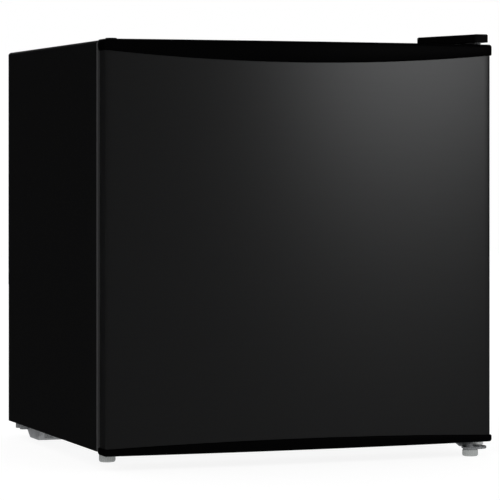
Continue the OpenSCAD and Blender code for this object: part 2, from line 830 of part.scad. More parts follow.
module door_top_cap() {
    w = cap_wall;
    color(black) difference() {
        union() {
            difference() {
                door_block(cap_overhang, 0, door_rear, [top_low - 1, door_top]);
                door_block(cap_overhang - w, w, door_rear - w, [0, door_top - w]);
            }
            intersection() {
                grip_space(1.8, door_top - 0.1);
                door_block(cap_overhang - w, w, door_rear - w, [top_low - 1, door_top]);
            }
        }
        difference() {
            slab([-half_w - 9, half_w + 9], [-half_depth - 5, door_rear + 5], [0, door_top - 2]);
            top_region(0);
        }
        grip_space(0, door_top + 1);
        holes([[hx, hy], [-hx, hy]], bush_d + 0.2, [door_top - 30, door_top + 1]);
    }
}

module door_bottom_cap() {
    w = cap_wall;
    color(black) difference() {
        door_block(cap_overhang, 0, door_rear, [door_bottom, bottom_high + 1]);
        door_block(cap_overhang - w, w, door_rear - w, [door_bottom + w, door_top]);
        difference() {
            slab([-half_w - 9, half_w + 9], [-half_depth - 5, door_rear + 5],
                [door_bottom + 2, door_top]);
            bottom_region(0);
        }
        holes([[hx, hy], [-hx, hy]], bush_d + 0.2, [0, door_bottom + 30]);
    }
}

module door_upper_bushing() {
    color(white) difference() {
        rod([hx, hy, door_top - 20], "z", bush_d, 20);
        rod([hx, hy, door_top - 18], "z", pin_d + 2 * fit, 20);
    }
}

module door_lower_bushing() {
    color(white) difference() {
        rod([hx, hy, door_bottom - 3.6], "z", bush_d, 23);
        rod([hx, hy, door_bottom - 5], "z", pin_d + 2 * fit, 20.4);
    }
}

module door_hole_plugs() {
    color(black) {
        rod([-hx, hy, door_top - 12], "z", bush_d, 13.2);
        rod([-hx, hy, door_bottom], "z", bush_d, 12);
    }
}

module door_foam() {
    y = door_rear - cap_wall - eps;
    color(foam_c) difference() {
        union() {
            door_block(-1, 2.4, y, [door_bottom + 2.4, door_top - 2.4]);
            slab([15 - half_w, half_w - 15], [y - 1, door_rear - eps], [36, 452]);
        }
        grip_space(2, door_top);
        holes([[hx, hy], [-hx, hy]], bush_d + 0.6, [door_top - 22, door_top]);
        holes([[hx, hy], [-hx, hy]], bush_d + 0.6, [0, door_bottom + 22]);
    }
}

// Upright ledges that the racks clip between
module ledges(g, y1) {
    for (s = [0, 1]) mirror([s, 0, 0])
        slab([rack_half + 0.3 + g, 190 - g], [door_rear - 1, y1 - g], [58 + g, 305 - g]);
}

module door_liner() {
    edge = 12.5;
    color(white) difference() {
        union() {
            slab([edge - half_w, half_w - edge], [door_rear, liner_face],
                [door_bottom + 10, door_top - 6]);
            intersection() {
                ledges(0, front_y + 9.2);
                slab([-half_w, half_w], [door_rear, 0], [0, door_top]);
            }
        }
        ledges(liner_skin, front_y + 9.2);
    }
}

module door_gasket() {
    x = hx - 3;
    y = [liner_face + 0.1, front_y - 0.1];
    z = [door_bottom + 14, door_top - 10];
    w = gasket_width;
    color(grey) difference() {
        slab([-x, x], y, z);
        slab([w - x, x - w], [y[0] - 1, y[1] + 1], [z[0] + w, z[1] - w]);
        difference() {
            slab([3 - x, x - 3], [y[1] - 4, y[1] - 1], [z[0] + 3, z[1] - 3]);
            slab([w - 3 - x, x - w + 3], [y[0] - 1, y[1] + 1], [z[0] + w - 3, z[1] - w + 3]);
        }
    }
}

module gasket_magnets() {
    x = hx - 3;
    y = [front_y - 3.9, front_y - 1.3];
    z = [door_bottom + 14, door_top - 10];
    w = gasket_width;
    color(black) {
        for (s = [0, 1]) mirror([s, 0, 0])
            slab([x - w + 3.3, x - 3.3], y, [z[0] + 3.3, z[1] - 3.3]);
        for (e = [z[0] + 3.3, z[1] - w + 3.3])
            slab([w - x - 3, x - w + 3], y, [e, e + w - 6.6]);
    }
}

// Open tray clipped to the inside of the door
module rack(z0, height) {
    t = 2.5;
    y = [liner_face + 0.1, front_y + rack_reach];
    color(clear) difference() {
        slab([-rack_half, rack_half], y, [z0, z0 + height]);
        slab([t - rack_half, rack_half - t], [y[0] + t, y[1] - t], [z0 + t, z0 + height + 1]);
    }
}

module lower_rack() {
    rack(60, 88);
}

module upper_rack() {
    rack(240, 60);
}

outer_shell();
front_rail();
bottom_plate();
machine_plate();
back_panel();
foam_insulation();
inner_liner();
right_foot_pad();
right_foot_stud();
left_foot_pad();
left_foot_stud();
left_foot_insert();
top_hinge_bracket();
top_hinge_pin();
top_hinge_screws();
top_hinge_cover();
lower_hinge_bracket();
lower_hinge_pin();
lower_hinge_screws();
cabinet_hole_plugs();
compressor_base();
base_bolts();
rubber_mounts();
compressor_shell();
terminal_cover();
suction_line();
discharge_line();
condenser();
liquid_line();
filter_drier();
capillary_tube();
condenser_brackets();
condenser_screws();
cord_gland();
evaporator_box();
evaporator_channel();
evaporator_hangers();
evaporator_screws();
freezer_frame();
freezer_flap();
tray_rails();
drip_tray();
shelf();
thermostat_housing();
thermostat_body();
thermostat_knob();
door_panel();
door_top_cap();
door_bottom_cap();
door_upper_bushing();
door_lower_bushing();
door_hole_plugs();
door_foam();
door_liner();
door_gasket();
gasket_magnets();
lower_rack();
upper_rack();
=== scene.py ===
"""Compact one-door mini fridge, built piece by piece on its frame."""

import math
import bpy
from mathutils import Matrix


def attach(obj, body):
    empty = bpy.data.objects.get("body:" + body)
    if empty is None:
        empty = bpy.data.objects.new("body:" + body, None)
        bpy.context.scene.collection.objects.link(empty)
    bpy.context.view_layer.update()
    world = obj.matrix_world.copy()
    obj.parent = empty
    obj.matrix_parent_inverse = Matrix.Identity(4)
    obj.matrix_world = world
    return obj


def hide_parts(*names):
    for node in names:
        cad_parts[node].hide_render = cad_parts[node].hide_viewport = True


bl_info = {
    "name": "Compact Mini Fridge",
    "version": (1, 0, 0),
    "blender": (4, 5, 0),
    "location": "3D View > Sidebar > Fridge",
    "description": "Builds a compact fridge with its door, freezer box and cooling set",
    "category": "Object",
}

import bmesh
import bpy
from bpy.props import FloatProperty, FloatVectorProperty, PointerProperty
from mathutils import Vector

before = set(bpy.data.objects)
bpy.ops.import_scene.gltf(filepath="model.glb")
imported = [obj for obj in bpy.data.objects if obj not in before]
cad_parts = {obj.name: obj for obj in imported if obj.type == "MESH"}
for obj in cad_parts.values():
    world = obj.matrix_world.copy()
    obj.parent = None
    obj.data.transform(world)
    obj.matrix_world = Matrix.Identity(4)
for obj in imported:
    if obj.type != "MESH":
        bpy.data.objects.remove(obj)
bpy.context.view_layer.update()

MM = 0.001
TAU = 2 * math.pi

# Places shared by several pieces, in millimetres
HINGE_AXIS = (224.5, -201.2)
UNUSED_HINGE_HOLES = ((-204, -128), (-224, -128), (-214, -166))
RIGHT_FOOT = (210.5, -210.5)
LEFT_FOOT = (-205.0, -123.0)
COMPRESSOR = (30.0, 116.0)
CONDENSER_PLANE = 217.0
KNOB = (164.0, 408.0)

# Rounding of the caps: outer edges, and (inset, distance from the steel front) where they meet it
CAP_ROUNDING = 3.2
CAP_SEAM = ((2.4, 0.3), (1.3, 0.4), (0.6, 0.7), (0.15, 1.4), (0.0, 2.4))


# ---------------------------------------------------------------- settings

def length(name, description, default):
    return FloatProperty(name=name, description=description, default=default, unit="LENGTH",
                         subtype="DISTANCE", precision=5)


class CabinetSettings(bpy.types.PropertyGroup):
    """Outside sizes of the steel cabinet"""
    half_width: length("Half width", "Half the outside width", 0.235)
    front: length("Front", "Plane of the front rim along Y", -0.1812)
    back: length("Back", "Rear end of the wrapped sheet along Y", 0.1985)
    bottom: length("Bottom", "Lower edge above the floor", 0.0186)
    top: length("Top", "Flat top above the floor", 0.4795)
    corner: length("Corner", "Rounding of the upper side edges", 0.004)
    bend: length("Bend", "Rounding where the sheet turns in at the front", 0.0016)
    sheet: length("Sheet", "Thickness of the steel sheet", 0.0008)
    rim: length("Rim", "Width of the rim round the opening", 0.028)


class DoorSettings(bpy.types.PropertyGroup):
    """Shape of the bowed door and its caps"""
    front: length("Front", "Foremost point of the bow along Y", -0.225)
    bow: length("Bow", "How far the middle stands in front of the side edges", 0.0102)
    rear: length("Rear", "Rear edge of the door along Y", -0.189)
    corner: length("Corner", "Rounding of the upright front edges", 0.003)
    fold: length("Fold", "Rounding of the folded rear edges", 0.0034)
    overhang: length("Overhang", "How far the caps stand out at the sides", 0.002)
    top: length("Top", "Upper edge of the top cap", 0.48)
    top_end: length("Top end", "Lower edge of the top cap at its ends", 0.4668)
    top_low: length("Top low", "Lower edge of the top cap at its middle", 0.4552)
    bottom: length("Bottom", "Lower edge of the bottom cap", 0.016)
    bottom_end: length("Bottom end", "Upper edge of the bottom cap at its ends", 0.0246)
    bottom_high: length("Bottom high", "Upper edge of the bottom cap at its middle", 0.03)


class StageSettings(bpy.types.PropertyGroup):
    """Camera, floor and lights"""
    lens: FloatProperty(name="Lens", description="Focal length in millimetres", default=192.096)
    yaw: FloatProperty(name="Yaw", description="Camera turned to the right of straight ahead",
                       default=math.radians(20.188), subtype="ANGLE", unit="ROTATION")
    shift: FloatProperty(name="Shift", description="Vertical lens shift", default=-0.1829)
    place: FloatVectorProperty(name="Place", description="Camera position", size=3,
                               default=(-1.1049, -3.0437, 0.3468), subtype="TRANSLATION", unit="LENGTH")
    key_power: FloatProperty(name="Key", description="Power of the front right softbox", default=2.4)
    top_power: FloatProperty(name="Top", description="Power of the overhead softbox", default=3.0)
    rear_power: FloatProperty(name="Rear", description="Power of the softbox behind", default=4.0)
    world: FloatProperty(name="Surround", description="Strength of the white surround", default=1.0)


# ---------------------------------------------------------------- materials

def shader(name, base=(0.5, 0.5, 0.5), metallic=0.0, roughness=0.4, coat=0.0,
           scale=(200, 200, 200), detail=4.0, vary=0.1, rough_vary=0.08, bump=0.05, bump_depth=0.0002,
           cells=0.0, alpha=1.0, specular=0.5, dirt=0.0, glow=0.0):
    """Procedural finish: noise drives colour, roughness and relief; cells add a crystal pattern."""
    mat = bpy.data.materials.new(name)
    mat.use_nodes = True
    tree = mat.node_tree
    nodes, links = tree.nodes, tree.links
    nodes.clear()
    out = nodes.new("ShaderNodeOutputMaterial")
    bsdf = nodes.new("ShaderNodeBsdfPrincipled")
    links.new(bsdf.outputs[0], out.inputs["Surface"])
    coord = nodes.new("ShaderNodeTexCoord")
    place = nodes.new("ShaderNodeMapping")
    place.inputs["Scale"].default_value = scale
    links.new(coord.outputs["Object"], place.inputs["Vector"])
    noise = nodes.new("ShaderNodeTexNoise")
    noise.inputs["Scale"].default_value = 1.0
    noise.inputs["Detail"].default_value = detail
    noise.inputs["Roughness"].default_value = 0.55
    links.new(place.outputs["Vector"], noise.inputs["Vector"])
    pattern = noise.outputs["Fac"]
    if cells:
        crystal = nodes.new("ShaderNodeTexVoronoi")
        crystal.inputs["Scale"].default_value = cells
        links.new(coord.outputs["Object"], crystal.inputs["Vector"])
        split = nodes.new("ShaderNodeSeparateColor")
        links.new(crystal.outputs["Color"], split.inputs[0])
        blend = nodes.new("ShaderNodeMath")
        blend.operation = "MULTIPLY_ADD"
        links.new(split.outputs[0], blend.inputs[0])
        blend.inputs[1].default_value = 0.55
        scaled = nodes.new("ShaderNodeMath")
        scaled.operation = "MULTIPLY"
        scaled.inputs[1].default_value = 0.45
        links.new(noise.outputs["Fac"], scaled.inputs[0])
        links.new(scaled.outputs[0], blend.inputs[2])
        pattern = blend.outputs[0]
    ramp = nodes.new("ShaderNodeValToRGB")
    ramp.color_ramp.elements[0].position = 0.25
    ramp.color_ramp.elements[1].position = 0.75
    low = [max(0.0, c * (1 - vary)) for c in base]
    high = [min(1.0, c * (1 + vary)) for c in base]
    ramp.color_ramp.elements[0].color = (*low, 1)
    ramp.color_ramp.elements[1].color = (*high, 1)
    links.new(pattern, ramp.inputs["Fac"])
    colour = ramp.outputs["Color"]
    if dirt:
        cloud = nodes.new("ShaderNodeTexNoise")
        cloud.inputs["Scale"].default_value = 6.0
        cloud.inputs["Detail"].default_value = 3.0
        links.new(coord.outputs["Object"], cloud.inputs["Vector"])
        mix = nodes.new("ShaderNodeMix")
        mix.data_type = "RGBA"
        mix.blend_type = "MULTIPLY"
        mix.inputs[0].default_value = dirt
        links.new(colour, mix.inputs[6])
        links.new(cloud.outputs["Fac"], mix.inputs[7])
        colour = mix.outputs[2]
    links.new(colour, bsdf.inputs["Base Color"])
    span = nodes.new("ShaderNodeMapRange")
    span.inputs["From Min"].default_value = 0.25
    span.inputs["From Max"].default_value = 0.75
    span.inputs["To Min"].default_value = max(0.02, roughness - rough_vary)
    span.inputs["To Max"].default_value = min(1.0, roughness + rough_vary)
    links.new(pattern, span.inputs["Value"])
    links.new(span.outputs["Result"], bsdf.inputs["Roughness"])
    relief = nodes.new("ShaderNodeBump")
    relief.inputs["Strength"].default_value = bump
    relief.inputs["Distance"].default_value = bump_depth
    links.new(pattern, relief.inputs["Height"])
    links.new(relief.outputs["Normal"], bsdf.inputs["Normal"])
    bsdf.inputs["Metallic"].default_value = metallic
    bsdf.inputs["Specular IOR Level"].default_value = specular
    bsdf.inputs["Coat Weight"].default_value = coat
    bsdf.inputs["Coat Roughness"].default_value = 0.1
    bsdf.inputs["Alpha"].default_value = alpha
    bsdf.inputs["Emission Color"].default_value = (1, 1, 1, 1)
    bsdf.inputs["Emission Strength"].default_value = glow
    return mat


FINISHES = {
    "cabinet_black": dict(base=(0.0056, 0.0056, 0.0058), roughness=0.42, scale=(900, 900, 900),
                          bump=0.25, bump_depth=0.00008, specular=0.35, vary=0.12),
    # Front rim in a lighter grey than the black cabinet paint: a painted highlight for the light the rim's
    # rounded bend catches in the door gap
    "rim_painted_highlight": dict(base=(0.042, 0.042, 0.043), roughness=0.5, scale=(900, 900, 900), bump=0.2,
                     bump_depth=0.00006, specular=0.3, vary=0.1),
    "door_grey": dict(base=(0.17, 0.172, 0.174), metallic=0.958, roughness=0.282, scale=(8, 300, 900),
                      bump=0.006, bump_depth=0.00002, vary=0.02, rough_vary=0.004),
    "cap_black": dict(base=(0.0009, 0.0009, 0.001), roughness=0.3, scale=(500, 500, 500), bump=0.04,
                      bump_depth=0.00005, specular=0.035, vary=0.1, rough_vary=0.04),
    "cover_black": dict(base=(0.0022, 0.0022, 0.0023), roughness=0.45, specular=0.08,
                        scale=(1200, 1200, 1200), bump=0.3, bump_depth=0.0001, vary=0.15),
    "zinc_plate": dict(base=(0.44, 0.45, 0.46), metallic=0.45, roughness=0.36, cells=120.0,
                       scale=(90, 90, 90), bump=0.08, bump_depth=0.0001, vary=0.16),
    "hinge_steel": dict(base=(0.36, 0.37, 0.38), metallic=0.55, roughness=0.3, scale=(400, 400, 400),
                        bump=0.08, bump_depth=0.00005, vary=0.1),
    "copper": dict(base=(0.72, 0.36, 0.22), metallic=0.75, roughness=0.32, scale=(150, 150, 150),
                   bump=0.06, bump_depth=0.00005, vary=0.16, dirt=0.25),
    "evaporator_metal": dict(base=(0.72, 0.73, 0.75), metallic=0.5, roughness=0.34,
                             scale=(30, 600, 600), bump=0.12, bump_depth=0.00008, vary=0.08),
    "liner_white": dict(base=(0.82, 0.83, 0.82), roughness=0.24, scale=(300, 300, 300), bump=0.05,
                        bump_depth=0.00006, vary=0.02, coat=0.15),
    "trim_white": dict(base=(0.8, 0.81, 0.81), roughness=0.38, scale=(700, 700, 700), bump=0.1,
                       bump_depth=0.00006, vary=0.03),
    "clear_plastic": dict(base=(0.86, 0.91, 0.93), roughness=0.12, scale=(250, 250, 250), bump=0.05,
                          bump_depth=0.00006, vary=0.02, rough_vary=0.04, alpha=0.42),
    "shelf_wire": dict(base=(0.82, 0.83, 0.83), roughness=0.3, scale=(500, 500, 500), bump=0.08,
                       bump_depth=0.00006, vary=0.03, coat=0.2),
    "foot_plastic": dict(base=(0.36, 0.375, 0.37), roughness=0.4, scale=(600, 600, 600), bump=0.12,
                         bump_depth=0.00006, vary=0.05, specular=0.6),
    "seal_grey": dict(base=(0.16, 0.16, 0.162), roughness=0.6, scale=(400, 400, 400), bump=0.1,
                      bump_depth=0.00008, vary=0.08),
    "mount_rubber": dict(base=(0.02, 0.02, 0.02), roughness=0.75, scale=(500, 500, 500), bump=0.2,
                         bump_depth=0.0001, vary=0.2),
    "compressor_black": dict(base=(0.012, 0.012, 0.013), roughness=0.3, scale=(220, 220, 220),
                             bump=0.15, bump_depth=0.0001, vary=0.2, coat=0.3),
    "thermostat_metal": dict(base=(0.45, 0.46, 0.47), metallic=0.8, roughness=0.4,
                             scale=(300, 300, 300), bump=0.05, vary=0.08),
    "foam": dict(base=(0.82, 0.72, 0.45), roughness=0.9, scale=(250, 250, 250), bump=0.5,
                 bump_depth=0.0004, vary=0.1),
    "magnet": dict(base=(0.04, 0.036, 0.033), roughness=0.7, scale=(300, 300, 300), vary=0.1),
    "floor_paper": dict(base=(0.16, 0.16, 0.16), roughness=0.9, scale=(40, 40, 40), bump=0.02,
                        specular=0.1, vary=0.004, glow=0.88),
}

_finishes = {}


def finish_of(name):
    if name not in _finishes:
        _finishes[name] = shader(name, **FINISHES[name])
    return _finishes[name]


# ---------------------------------------------------------------- geometry

def keep(name, bm, body, slot, nodes=(), angle=38.0, finish=""):
    """Turns a mesh drawn in millimetres into a piece that rides its body and replaces its nodes."""
    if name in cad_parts:
        name += "_piece"
    bmesh.ops.remove_doubles(bm, verts=bm.verts, dist=0.002)
    bmesh.ops.recalc_face_normals(bm, faces=bm.faces)
    bmesh.ops.scale(bm, vec=(MM, MM, MM), verts=bm.verts)
    mesh = bpy.data.meshes.new(name)
    bm.to_mesh(mesh)
    bm.free()
    mesh.shade_smooth()
    mesh.set_sharp_from_angle(angle=math.radians(angle))
    mesh.materials.append(finish_of(finish or slot))
    obj = bpy.data.objects.new(name, mesh)
    bpy.context.scene.collection.objects.link(obj)
    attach(obj, body)
    if nodes:
        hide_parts(*nodes)
    return obj


def loft(bm, rings, ends=True, around=False):
    """Skin through closed rings of equal count. around joins the last ring to the first."""
    rows = [[bm.verts.new(p) for p in ring] for ring in rings]
    pairs = list(zip(rows, rows[1:]))
    if around:
        pairs.append((rows[-1], rows[0]))
    count = len(rows[0])
    for a, b in pairs:
        for i in range(count):
            j = (i + 1) % count
            bm.faces.new((a[i], a[j], b[j], b[i]))
    if ends and not around:
        bm.faces.new(rows[0])
        bm.faces.new(rows[-1])
    return rows


def block(bm, x, y, z, bevel=0.0, segments=2):
    """Box between limits with rounded edges."""
    made = bmesh.ops.create_cube(bm, size=1.0)["verts"]
    bmesh.ops.scale(bm, vec=(x[1] - x[0], y[1] - y[0], z[1] - z[0]), verts=made)
    bmesh.ops.translate(bm, vec=((x[0] + x[1]) / 2, (y[0] + y[1]) / 2, (z[0] + z[1]) / 2), verts=made)
    if bevel:
        edges = list({e for v in made for e in v.link_edges})
        bmesh.ops.bevel(bm, geom=edges, offset=bevel, affect="EDGES", segments=segments,
                        profile=0.5, material=-1)


def turned(bm, profile, centre, axis="z", steps=48, ribs=0, rib=0.0):
    """Turned shape from (radius, height) pairs; ribs ripple the radius."""
    rings = []
    for r, h in profile:
        ring = []
        for i in range(steps):
            a = TAU * i / steps
            rr = max(r - (rib * (0.5 - 0.5 * math.cos(ribs * a)) if r > rib * 4 else 0.0), 0.0005)
            u, v = rr * math.cos(a), rr * math.sin(a)
            local = {"z": (u, v, h), "y": (u, h, v), "x": (h, u, v)}[axis]
            ring.append(tuple(c + d for c, d in zip(centre, local)))
        rings.append(ring)
    loft(bm, rings)


def arc(cx, cy, r, start, end, steps):
    """Points of an arc in degrees."""
    return [(cx + r * math.cos(math.radians(start + (end - start) * i / steps)),
             cy + r * math.sin(math.radians(start + (end - start) * i / steps)))
            for i in range(steps + 1)]


def round_rect(x, y, r, steps=5):
    """Rounded rectangle between limits, anticlockwise from its right side."""
    r = max(r, 0.02)
    return (arc(x[1] - r, y[1] - r, r, 0, 90, steps) + arc(x[0] + r, y[1] - r, r, 90, 180, steps)
            + arc(x[0] + r, y[0] + r, r, 180, 270, steps) + arc(x[1] - r, y[0] + r, r, 270, 360, steps))


def route(points, radius, steps=6):
    """Polyline with its corners rounded."""
    pts = [Vector(p) for p in points]
    out = []
    count = len(pts)
    for i, p in enumerate(pts):
        if i in (0, count - 1):
            out.append(p)
            continue
        a = (pts[i - 1] - p).normalized()
        b = (pts[i + 1] - p).normalized()
        half = a.angle(b) / 2
        reach = radius / math.tan(half)
        centre = p + (a + b).normalized() * (radius / math.sin(half))
        start, end = p + a * reach - centre, p + b * reach - centre
        turn = start.angle(end)
        for k in range(steps + 1):
            w = k / steps
            out.append(centre + (start * math.sin((1 - w) * turn) + end * math.sin(w * turn))
                       / math.sin(turn))
    return out


def tube(bm, points, radius, sides=12):
    """Round bar along a path."""
    pts = [Vector(p) for p in points]
    count = len(pts)
    rings = []
    side = None
    for i, p in enumerate(pts):
        before = pts[i - 1] if i else p
        after = pts[i + 1] if i < count - 1 else p
        way = (after - before).normalized()
        if side is None:
            side = way.orthogonal().normalized()
        side = (side - way * side.dot(way)).normalized()
        up = way.cross(side)
        rings.append([p + radius * (side * math.cos(TAU * k / sides) + up * math.sin(TAU * k / sides))
                      for k in range(sides)])
    loft(bm, rings)


def dress(node, slot, weld=0.0, bevel=0.0):
    """Gives a kept CAD node its finish, with a small edge rounding where asked."""
    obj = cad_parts[node]
    obj.data.materials.clear()
    obj.data.materials.append(finish_of(slot))
    if bevel:
        mod = obj.modifiers.new("Weld", "WELD")
        mod.merge_threshold = 1e-5
        mod = obj.modifiers.new("Bevel", "BEVEL")
        mod.width = bevel * MM
        mod.segments = 2
        mod.limit_method = "ANGLE"
        mod.angle_limit = math.radians(40)
        mod.use_clamp_overlap = True
    return obj


def mm(group, *names):
    return [getattr(group, n) / MM for n in names]


# ---------------------------------------------------------------- cabinet

def cabinet_path(s, inset, top_steps=6):
    """Front outline of the wrapped sheet, from the lower left end over the top to the lower right."""
    w, bottom, top, corner = mm(s, "half_width", "bottom", "top", "corner")
    r = max(corner - inset, 0.05)
    x, z = w - inset, top - inset
    left = [(-x, bottom)] + arc(-x + r, z - r, r, 180, 90, top_steps)
    return left + [(-px, pz) for px, pz in reversed(left)]


class FRIDGE_OT_cabinet(bpy.types.Operator):
    """Builds the wrapped steel cabinet with its folded rim, rail and rear sheet"""
    bl_idname = "fridge.cabinet"
    bl_label = "Build Cabinet"

    def execute(self, context):
        s = context.scene.fridge_cabinet
        w, front, back, bottom, t, rim, bend = mm(s, "half_width", "front", "back", "bottom", "sheet",
                                                  "rim", "bend")
        bm = bmesh.new()
        self.wrap(bm, s, [(0.0, back), (0.0, front + bend), (t, front + bend), (t, back)])
        for side in (-1, 1):
            x = sorted((side * (w - 0.4), side * (w - 12)))
            block(bm, x, (front + 1, back), (bottom, bottom + t))
        keep("cabinet_shell", bm, "cabinet", "cabinet_black", ["outer_shell"])
        section = [(bend + px, front + bend + py) for px, py in arc(0, 0, bend, 180, 270, 6)]
        section += [(rim, front), (rim, front + t)]
        section += [(bend + px, front + bend + py) for px, py in arc(0, 0, bend - t, 270, 180, 4)]
        bm = bmesh.new()
        self.wrap(bm, s, section)
        # The rim gets a lighter grey than the black cabinet: a painted highlight for the light its bend
        # catches in the door gap
        keep("cabinet_rim", bm, "cabinet", "cabinet_black", ["outer_shell"], finish="rim_painted_highlight")
        dress("front_rail", "cabinet_black")
        dress("back_panel", "cabinet_black")
        dress("bottom_plate", "zinc_plate")
        dress("machine_plate", "zinc_plate")
        dress("foam_insulation", "foam")
        bm = bmesh.new()
        for x, y in UNUSED_HINGE_HOLES:
            turned(bm, [(0, 479.3), (4.2, 479.3), (4.5, 479.6), (4.3, 479.9), (0, 480.1)], (x, y, 0),
                   steps=32)
        keep("hinge_hole_plugs", bm, "cabinet", "cover_black", ["cabinet_hole_plugs"])
        return {"FINISHED"}

    def wrap(self, bm, s, section):
        """Sweeps a folded sheet section (inset, y) round the sides and the top."""
        rings = [cabinet_path(s, inset) for inset, _ in section]
        loft(bm, [[(ring[i][0], y, ring[i][1]) for ring, (_, y) in zip(rings, section)]
                  for i in range(len(rings[0]))])


class FRIDGE_OT_lining(bpy.types.Operator):
    """Builds the moulded lining of the cabinet with its rounded corners and shelf runners"""
    bl_idname = "fridge.lining"
    bl_label = "Build Lining"

    def execute(self, context):
        x, front, step_y, rear = 200.0, -180.3, 5.8, 159.3
        floor, step, top = 54.0, 218.0, 444.5
        bm = bmesh.new()
        profile = [(front, floor), (step_y, floor), (step_y, step), (rear, step), (rear, top),
                   (front, top)]
        sides = [[bm.verts.new((s * x, y, z)) for y, z in profile] for s in (-1, 1)]
        for i in range(5):
            bm.faces.new((sides[0][i], sides[0][i + 1], sides[1][i + 1], sides[1][i]))
        for row in sides:
            bm.faces.new(row)
        frame_out = [bm.verts.new(p) for p in ((-215, front, 40), (215, front, 40),
                                               (215, front, 458.4), (-215, front, 458.4))]
        mouth = [sides[0][0], sides[1][0], sides[1][5], sides[0][5]]
        for i in range(4):
            j = (i + 1) % 4
            bm.faces.new((frame_out[i], frame_out[j], mouth[j], mouth[i]))
        bm.normal_update()
        outer = set(frame_out)
        edges = [e for e in bm.edges if not (set(e.verts) & outer)]
        bmesh.ops.bevel(bm, geom=edges, offset=7.0, affect="EDGES", segments=4, profile=0.5,
                        material=-1)
        for z, deep in ((217.1, 149), (229.3, 149), (130, -3)):
            for s in (-1, 1):
                block(bm, sorted((s * 193, s * 201)), (-151, deep), (z, z + 4.6), 1.4, 3)
        keep("cabinet_lining", bm, "cabinet", "liner_white", ["inner_liner"], 50)
        return {"FINISHED"}


# ---------------------------------------------------------------- door

def door_edge(s, side, front, rear, corner, fold, steps=40, round_steps=6):
    """Half of the door's outline, from its rear left fold to the middle of the bow, then mirrored."""
    apex, bow = mm(s, "front", "bow")
    half = door_half_width()
    big = (half * half + bow * bow) / (2 * bow) - front
    x = half + side
    tilt = math.asin((x - corner) / big)
    cx = -x + corner
    bx = cx - corner * math.sin(tilt)
    mid_y = apex + front + big
    by = mid_y - math.sqrt(big * big - bx * bx)
    cy = by + corner * math.cos(tilt)
    pts = arc(-x + fold, rear - fold, fold, 90, 180, round_steps)
    pts += arc(cx, cy, corner, 180, 270 - math.degrees(tilt), round_steps)
    for i in range(1, steps + 1):
        px = bx * (1 - i / steps)
        pts.append((px, mid_y - math.sqrt(big * big - px * px)))
    return pts + [(-px, py) for px, py in reversed(pts[:-1])]


def door_half_width():
    return bpy.context.scene.fridge_cabinet.half_width / MM


def cap_lines(s):
    """Heights of the shallow arcs that part the caps from the steel front, as functions of x."""
    half = door_half_width() + s.overhang / MM
    top_end, top_low, low_end, low_high = mm(s, "top_end", "top_low", "bottom_end", "bottom_high")
    rise, dip = top_end - top_low, low_high - low_end
    upper = (half * half + rise * rise) / (2 * rise)
    lower = (half * half + dip * dip) / (2 * dip)
    return (lambda x: top_low + upper - math.sqrt(upper * upper - x * x),
            lambda x: low_high - lower + math.sqrt(lower * lower - x * x))


